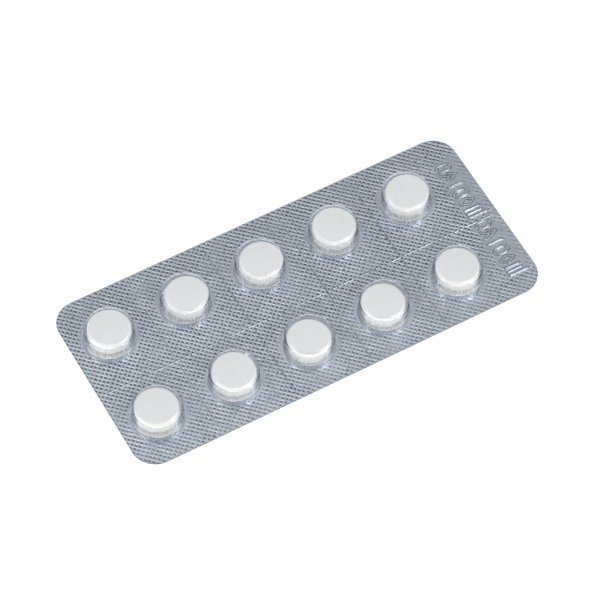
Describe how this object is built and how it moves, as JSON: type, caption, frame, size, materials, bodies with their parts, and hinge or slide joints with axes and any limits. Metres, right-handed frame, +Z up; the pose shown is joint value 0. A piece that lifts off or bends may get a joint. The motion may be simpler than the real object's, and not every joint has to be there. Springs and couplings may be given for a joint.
{
  "type": "pill blister pack",
  "caption": "Clear formed blister card, heat-sealed with aluminium foil, with a loose round tablet in each pocket and slit lines between the pockets.",
  "frame": {"origin": "centre of the pack's underside, on the surface it lies on", "axes": "+X along the length towards the end with the bare stamping band, +Y to the back row of pockets, +Z up out of the pockets"},
  "size_m": [0.093, 0.0426, 0.004],
  "materials": {
    "clear_web": "clear, glossy, with a faint blue-grey tint at the pocket walls",
    "foil": "hard-tempered foil, satin, with a fine diamond knurl over the sealed flange",
    "tablet": "matt white pressed powder, uncoated"
  },
  "bodies": {
    "root": {"blister_film": "clear_web", "lidding_foil": "foil", "tablet_1": "tablet", "tablet_2": "tablet", "tablet_3": "tablet", "tablet_4": "tablet", "tablet_5": "tablet", "tablet_6": "tablet", "tablet_7": "tablet", "tablet_8": "tablet", "tablet_9": "tablet", "tablet_10": "tablet"}
  },
  "joints": []
}
